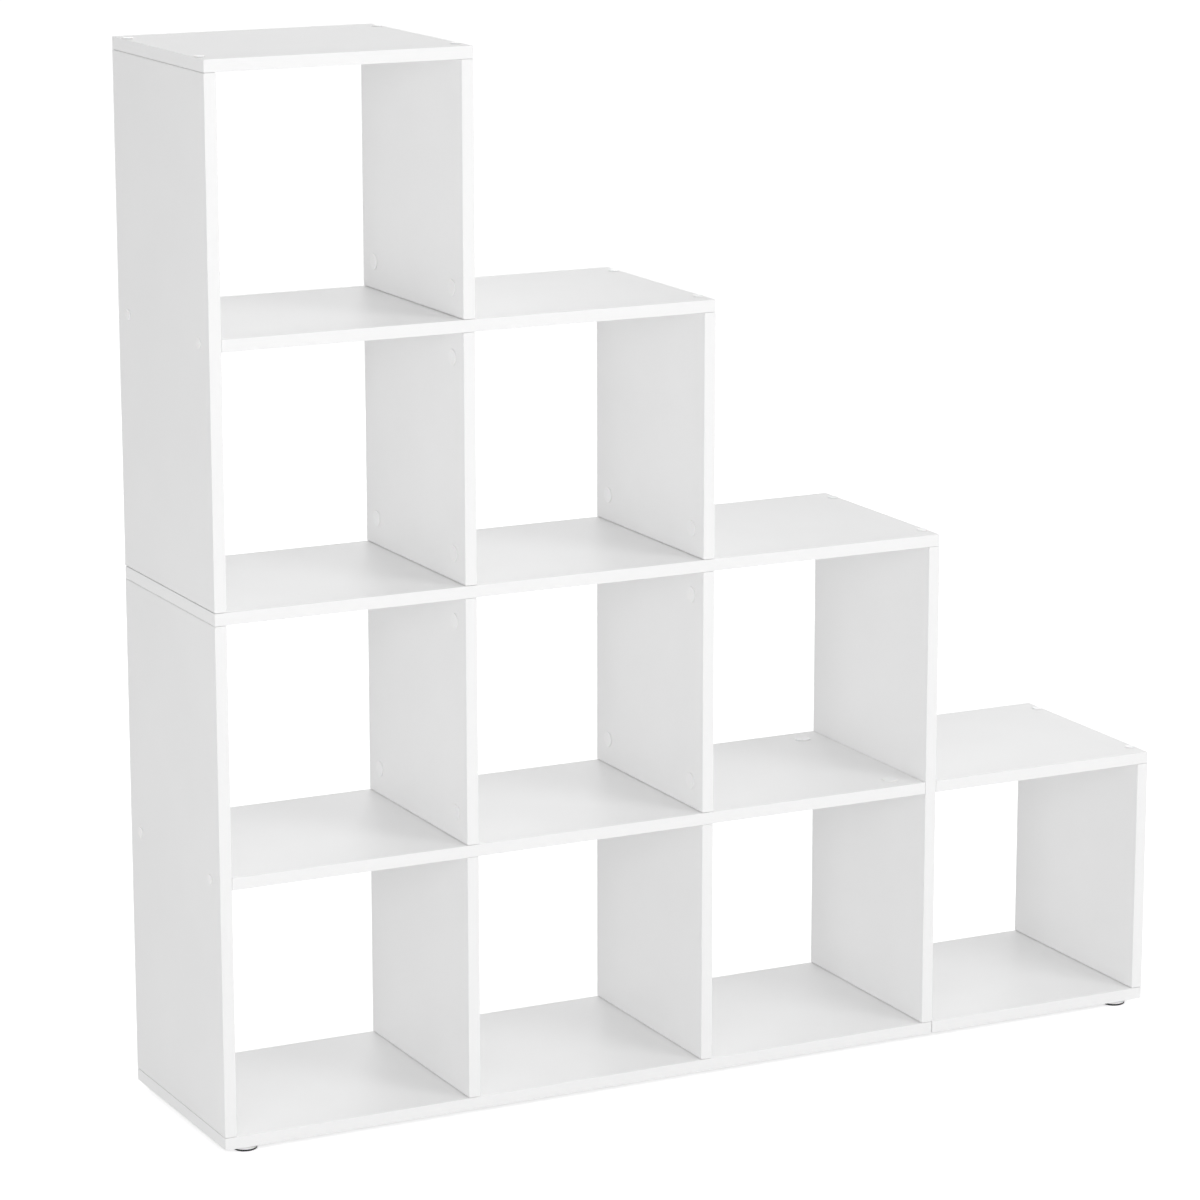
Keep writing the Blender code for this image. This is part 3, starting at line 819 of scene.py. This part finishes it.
class BOOKCASE_OT_edging(bpy.types.Operator):
    """Glue a strip of white edging round each board and upright"""

    bl_idname = "bookcase.edging"
    bl_label = "Edging"

    def execute(self, context):
        sizes = context.scene.bookcase_boards
        strip, core = extruded_edging(sizes.strip), pressed_chipboard(sizes.core)
        holes = drills()
        for name in PANELS:
            order, (length, width, height) = panel_lie(name)
            # Of each side, its way along its axis and its share of the joint line. The upper
            # left side stands least tightly on its board
            foot = 2 if name == "left_side_upper" else 1
            shares = ((1, 0.6), (1, 0.4), (-1, 0.6), (-1, foot))
            drawn = [sizes.joint * share * stands_against(name, order[side % 2], way)
                     for side, (way, share) in enumerate(shares)]
            band = edging_band(length, width, height, sizes.edging, sizes.arris, sizes.seam, drawn)
            lay_panel(name, "edging", band, strip, holes, core)
        return {"FINISHED"}


def screw_grids(sizes):
    """A long furniture screw on Z, with its board's outer face at Z = 0, as three grids.

    The head's profile runs from its socket's floor out and down, and its first rows are hexagons.
    The thread follows a helix, and the point is a cone.
    """
    top = -SCREW_SINK
    neck = top - SCREW_HEAD_HEIGHT
    cone = SCREW_HEAD_RADIUS - SCREW_SHANK_RADIUS
    root = SCREW_BORE_RADIUS - sizes.thread
    start, end = -BOARD - THREAD_GAP, top - SCREW_LENGTH
    stop = end + SCREW_TIP
    across = SOCKET_ACROSS / 2
    outer = eased((
        (across + SOCKET_CHAMFER, top), (SCREW_HEAD_RADIUS, top), (SCREW_HEAD_RADIUS, neck),
        (SCREW_SHANK_RADIUS, neck - cone), (SCREW_SHANK_RADIUS, -BOARD), (root, start)),
        (0.0004, 0.0002, 0.0004, 0.0002))
    socket = ((0, top - SOCKET_DEPTH - 0.0006), (across, top - SOCKET_DEPTH),
              (across, top - SOCKET_CHAMFER))
    profile = np.concatenate((socket, outer))

    def outline(row, angle):
        return np.where((row > 0) & (row < 4), hexagon(angle), 1)

    thread = thread_grid(root, sizes.thread, start, stop, sizes.pitch)
    tip = turned(((root, stop), (root * 0.55, stop - SCREW_TIP * 0.6), (0, end)), 24)
    return [turned(profile, 24, outline), thread, tip]


def cap_grid(sizes):
    """A cap on Z over the board's face: a dished disc with a raised rim, and its stem below."""
    rim = CAP_RADIUS - CAP_RIM
    low = CAP_TOP - sizes.dish
    stem = -SCREW_SINK - SOCKET_DEPTH
    profile = eased((
        (0, low), (rim, low), (rim + 0.0003, CAP_TOP),
        (CAP_RADIUS, CAP_TOP), (CAP_RADIUS, CONTACT), (CAP_STEM_RADIUS, CONTACT),
        (CAP_STEM_RADIUS, stem), (0, stem)),
        (0.0002, 0.0001, 0.0005, 0.0001, 0.0002, 0.0004))
    return turned(profile, 48)


def drive_screws(sizes, screws, plastic=None):
    """Put in the screws of a table, each with a cap in its head if there is plastic for one."""
    steel = plated_steel(sizes.steel)
    for name, through, _, outward in screws:
        for row in ROWS:
            node, place = f"{name}_{row}", screw_place(name, row, through, outward)
            screw = [(placed(grid, place), steel) for grid in screw_grids(sizes)]
            new_piece(f"{node}_steel", screw, [node])
            if plastic:
                cap = [(placed(cap_grid(sizes), place), plastic)]
                new_piece(f"{node}_cap", cap, [node])


class BOOKCASE_OT_capped_screws(bpy.types.Operator):
    """Drive the screws whose heads show, and press a white cap into each"""

    bl_idname = "bookcase.capped_screws"
    bl_label = "Capped screws"

    def execute(self, context):
        sizes = context.scene.bookcase_fittings
        plastic = moulded_plastic("polyethylene_caps_moulded", sizes.cap, 0.27, 0.37)
        drive_screws(sizes, CAPPED_SCREWS, plastic)
        return {"FINISHED"}


class BOOKCASE_OT_bottom_screws(bpy.types.Operator):
    """Drive the open screws that go up through the bottom boards"""

    bl_idname = "bookcase.bottom_screws"
    bl_label = "Bottom screws"

    def execute(self, context):
        drive_screws(context.scene.bookcase_fittings, BOTTOM_SCREWS)
        return {"FINISHED"}


def bolt_grid():
    """A double-ended cam bolt on Z: a shaft with a neck and a rounded head at each end."""
    half = ((0, CAM_REACH), (BOLT_RADIUS, CAM_REACH), (BOLT_RADIUS, CAM_REACH - 0.003),
            (BOLT_NECK_RADIUS, CAM_REACH - 0.0036), (BOLT_NECK_RADIUS, CAM_REACH - 0.0095),
            (BOLT_RADIUS, CAM_REACH - 0.0105))
    profile = np.concatenate((half, np.array(half)[::-1] * (1, -1)))
    return turned(eased(profile, (0.0012, 0.0008, 0.0003, 0.0003, 0.0002) * 2), 24)


def cam_grid():
    """A cam on Z, under the panel's face: a drum with a four-winged recess and a mouth.

    The recess's rows take the radius 0.35 + 0.65 cos^6 2a, which makes four wings. The mouth draws
    the side in by a smooth window in angle round -X, and in height, where the bolt's head enters.
    """
    top = -CAM_SINK
    drum = [(CAM_RADIUS, top - depth)
            for depth in (0.0004, 0.0022, 0.0038, 0.0055, 0.0085, 0.0102)]
    profile = np.array((
        (0, top - 0.003), (0.0035, top - 0.003), (0.0035, top), (0.0045, top),
        (CAM_RADIUS - 0.0003, top), *drum, (CAM_RADIUS, 0.0004 - CAM_DEPTH),
        (CAM_RADIUS - 0.0004, -CAM_DEPTH), (0, -CAM_DEPTH)))

    def outline(row, angle):
        wings = 0.35 + 0.65 * np.cos(2 * angle) ** 6
        mouth = np.clip(1.6 - np.abs(angle - np.pi) / 0.45, 0, 1) * ((row > 6) & (row < 10))
        return np.where((row > 0) & (row < 3), wings, 1 - 0.45 * mouth)

    return turned(profile, 48, outline)


def cover_grid(sizes):
    """A cam cover on Z over the panel's face: a thin disc with a ring, and a short collar."""
    rim = COVER_RADIUS - COVER_RIM
    low = COVER_TOP - sizes.dish
    collar = CAM_RADIUS - 0.0015
    profile = eased((
        (0, low), (rim, low), (rim + 0.0004, COVER_TOP), (COVER_RADIUS, COVER_TOP),
        (COVER_RADIUS, CONTACT), (collar, CONTACT), (collar, -0.0002), (0, -0.0002)),
        (0.0003, 0.0001, 0.0005, 0.0001, 0.0001, 0.0001))
    return turned(profile, 64)


class BOOKCASE_OT_cam_fittings(bpy.types.Operator):
    """Put in the bolts, the cams that grip their ends and the round covers over the cams"""

    bl_idname = "bookcase.cam_fittings"
    bl_label = "Cam fittings"

    def execute(self, context):
        sizes = context.scene.bookcase_fittings
        steel, zinc = plated_steel(sizes.steel), cast_zinc(sizes.zinc)
        plastic = moulded_plastic("polyethylene_covers_moulded", sizes.cover, 0.34, 0.44)
        for name, through, axis, *ends in CAM_FITTINGS:
            for row in ROWS:
                node, middle = f"{name}_{row}", cam_middle(name, row, through, ends[0][0])
                inner = [(placed(bolt_grid(), frame_at(middle, axis, ends[0][1])), steel)]
                covers = []
                for _, _, place in cam_ends(middle, axis, ends):
                    inner.append((placed(cam_grid(), place), zinc))
                    covers.append((placed(cover_grid(sizes), place), plastic))
                new_piece(f"{node}_metal", inner, [node])
                new_piece(f"{node}_covers", covers, [node])
        return {"FINISHED"}


class BOOKCASE_OT_dowels(bpy.types.Operator):
    """Put in the two fluted dowels that line up the bottom boards"""

    bl_idname = "bookcase.dowels"
    bl_label = "Dowels"

    def execute(self, context):
        sizes = context.scene.bookcase_fittings
        beech = turned_beech(sizes.beech)
        half = DOWEL_LENGTH / 2 - CLEARANCE
        end = DOWEL_RADIUS - 0.001
        profile = ((0, half), (end, half), (DOWEL_RADIUS, half - DOWEL_CHAMFER),
                   (DOWEL_RADIUS, 0), (DOWEL_RADIUS, DOWEL_CHAMFER - half), (end, -half),
                   (0, -half))

        def flutes(row, angle):
            """Twelve flutes, 0.3 mm deep, between the chamfers."""
            return 1 - 0.075 * np.clip(-np.cos(12 * angle), 0, 1) * ((row > 1) & (row < 5))

        for row, place in dowel_places():
            grid = placed(turned(profile, 72, flutes), place)
            new_piece(f"bottom_dowel_{row}", [(grid, beech)])
        return {"FINISHED"}


class BOOKCASE_OT_feet(bpy.types.Operator):
    """Press a round glide with a rubber sole under each corner"""

    bl_idname = "bookcase.feet"
    bl_label = "Glides"

    def execute(self, context):
        sizes = context.scene.bookcase_fittings
        plastic = moulded_plastic("polyethylene_glides_moulded", sizes.glide, 0.34, 0.44)
        rubber = soft_rubber(sizes.rubber)
        top = FOOT_HEIGHT - CLEARANCE
        end = FOOT_HEIGHT + PIN_LENGTH
        barbs = [(PIN_RADIUS - 0.0005 * (step % 2), top + 0.0012 + 0.0011 * step)
                 for step in range(8)]
        body = eased([(0, sizes.sole), (FOOT_RADIUS - 0.0004, sizes.sole),
                      (FOOT_RADIUS - 0.0004, sizes.sole + 0.0008), (FOOT_TOP_RADIUS, top),
                      (PIN_RADIUS, top), *barbs, (PIN_RADIUS - 0.0009, end), (0, end)],
                     (0.0002, 0.0006, 0.0006, 0.0002, *(0.0001,) * 8, 0.0003))
        tread = [(0, 0.0004), (0.006, 0.0004), (0.0065, 0), (0.0135, 0), (FOOT_RADIUS, 0.0009),
                 (FOOT_RADIUS, sizes.sole), (0, sizes.sole)]
        sole = eased(tread, (0.0002, 0.0002, 0.0006, 0.0005, 0.0002))
        for name, _ in FEET:
            for part, profile, look in (("body", body, plastic), ("sole", sole, rubber)):
                grid = placed(turned(profile, 64), foot_place(name))
                new_piece(f"{name}_{part}", [(grid, look)], [name])
        return {"FINISHED"}


def new_lamp(name, place, watts, width):
    """A softbox that shines at the bookcase's middle, and doesn't show itself."""
    light = bpy.data.lights.new(name, "AREA")
    light.shape = "RECTANGLE"
    light.size, light.size_y = width, LAMP_HEIGHT
    light.energy = watts
    lamp = new_object(name, light)
    lamp.location = place
    way = LAMP_TARGET - Vector(place)
    lamp.rotation_euler = way.to_track_quat("-Z", "Y").to_euler()
    lamp.visible_camera = False


class BOOKCASE_OT_stage(bpy.types.Operator):
    """Set up the floor, the soft lamps, the white room and the camera"""

    bl_idname = "bookcase.stage"
    bl_label = "Studio"

    def execute(self, context):
        sizes = context.scene.bookcase_stage
        # The floor is a disc: radius by angle
        disc = turned([(radius, 0) for radius in FLOOR_RADII], 64)
        paper = paper_floor(sizes.floor)
        floor = new_object("studio_floor", surface_mesh("studio_floor", [(disc, paper)]))
        if floor.data.polygons[0].normal.z < 0:
            floor.data.flip_normals()
        floor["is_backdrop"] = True

        world = bpy.data.worlds.new("white_room")
        world.use_nodes = True
        tree = world.node_tree
        tree.nodes.clear()
        direct = seen_directly(tree)
        strength = add_node(tree, "MapRange", {
            "Value": direct, "To Min": sizes.sky, "To Max": 1.0})
        room = add_node(tree, "Background", {
            "Color": (1, 1, 1, 1), "Strength": strength.outputs[0]})
        add_node(tree, "OutputWorld", {"Surface": room.outputs[0]})
        context.scene.world = world

        for name, place, width in LAMPS:
            new_lamp(f"{name}_softbox", place, getattr(sizes, name), width)

        lens = bpy.data.cameras.new("camera")
        lens.sensor_width = 36
        lens.sensor_fit = "HORIZONTAL"
        lens.lens = sizes.lens
        lens.clip_end = 200
        camera = new_object("camera", lens)
        camera.location = CAMERA_PLACE
        camera.rotation_euler = [math.radians(angle) for angle in CAMERA_TURN]
        context.scene.camera = camera
        context.scene.view_settings.view_transform = "Standard"
        return {"FINISHED"}


class BOOKCASE_PT_panel(bpy.types.Panel):
    """The bookcase's steps, in the order in which they are made"""

    bl_idname = "BOOKCASE_PT_panel"
    bl_label = "Cube bookcase"
    bl_space_type = "VIEW_3D"
    bl_region_type = "UI"
    bl_category = "Bookcase"

    def draw(self, context):
        for group, steps in STEPS:
            box = self.layout.box()
            settings = getattr(context.scene, group)
            for name in settings.bl_rna.properties.keys():
                if name not in {"rna_type", "name"}:
                    box.prop(settings, name)
            for step in steps:
                box.operator(step.bl_idname)


GROUPS = {
    "bookcase_boards": BookcaseBoards,
    "bookcase_fittings": BookcaseFittings,
    "bookcase_stage": BookcaseStage,
}
STEPS = (
    ("bookcase_stage", (BOOKCASE_OT_stage,)),
    ("bookcase_boards", (BOOKCASE_OT_boards, BOOKCASE_OT_edging)),
    ("bookcase_fittings", (BOOKCASE_OT_capped_screws, BOOKCASE_OT_bottom_screws,
                           BOOKCASE_OT_cam_fittings, BOOKCASE_OT_dowels, BOOKCASE_OT_feet)),
)
CLASSES = (*GROUPS.values(), *(step for _, steps in STEPS for step in steps), BOOKCASE_PT_panel)


def register():
    for item in CLASSES:
        bpy.utils.register_class(item)
    for name, group in GROUPS.items():
        setattr(bpy.types.Scene, name, PointerProperty(type=group))


def unregister():
    for name in GROUPS:
        delattr(bpy.types.Scene, name)
    for item in reversed(CLASSES):
        bpy.utils.unregister_class(item)


def main():
    """Build everything in order."""
    register()
    bpy.ops.bookcase.stage()
    bpy.ops.bookcase.boards()
    bpy.ops.bookcase.edging()
    bpy.ops.bookcase.capped_screws()
    bpy.ops.bookcase.bottom_screws()
    bpy.ops.bookcase.cam_fittings()
    bpy.ops.bookcase.dowels()
    bpy.ops.bookcase.feet()
    boxes = {"cad": CAD_BOX, "visual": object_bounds()}
    {name: [list(low), list(high)] for name, (low, high) in boxes.items()}


if __name__ == "__main__":
    main()
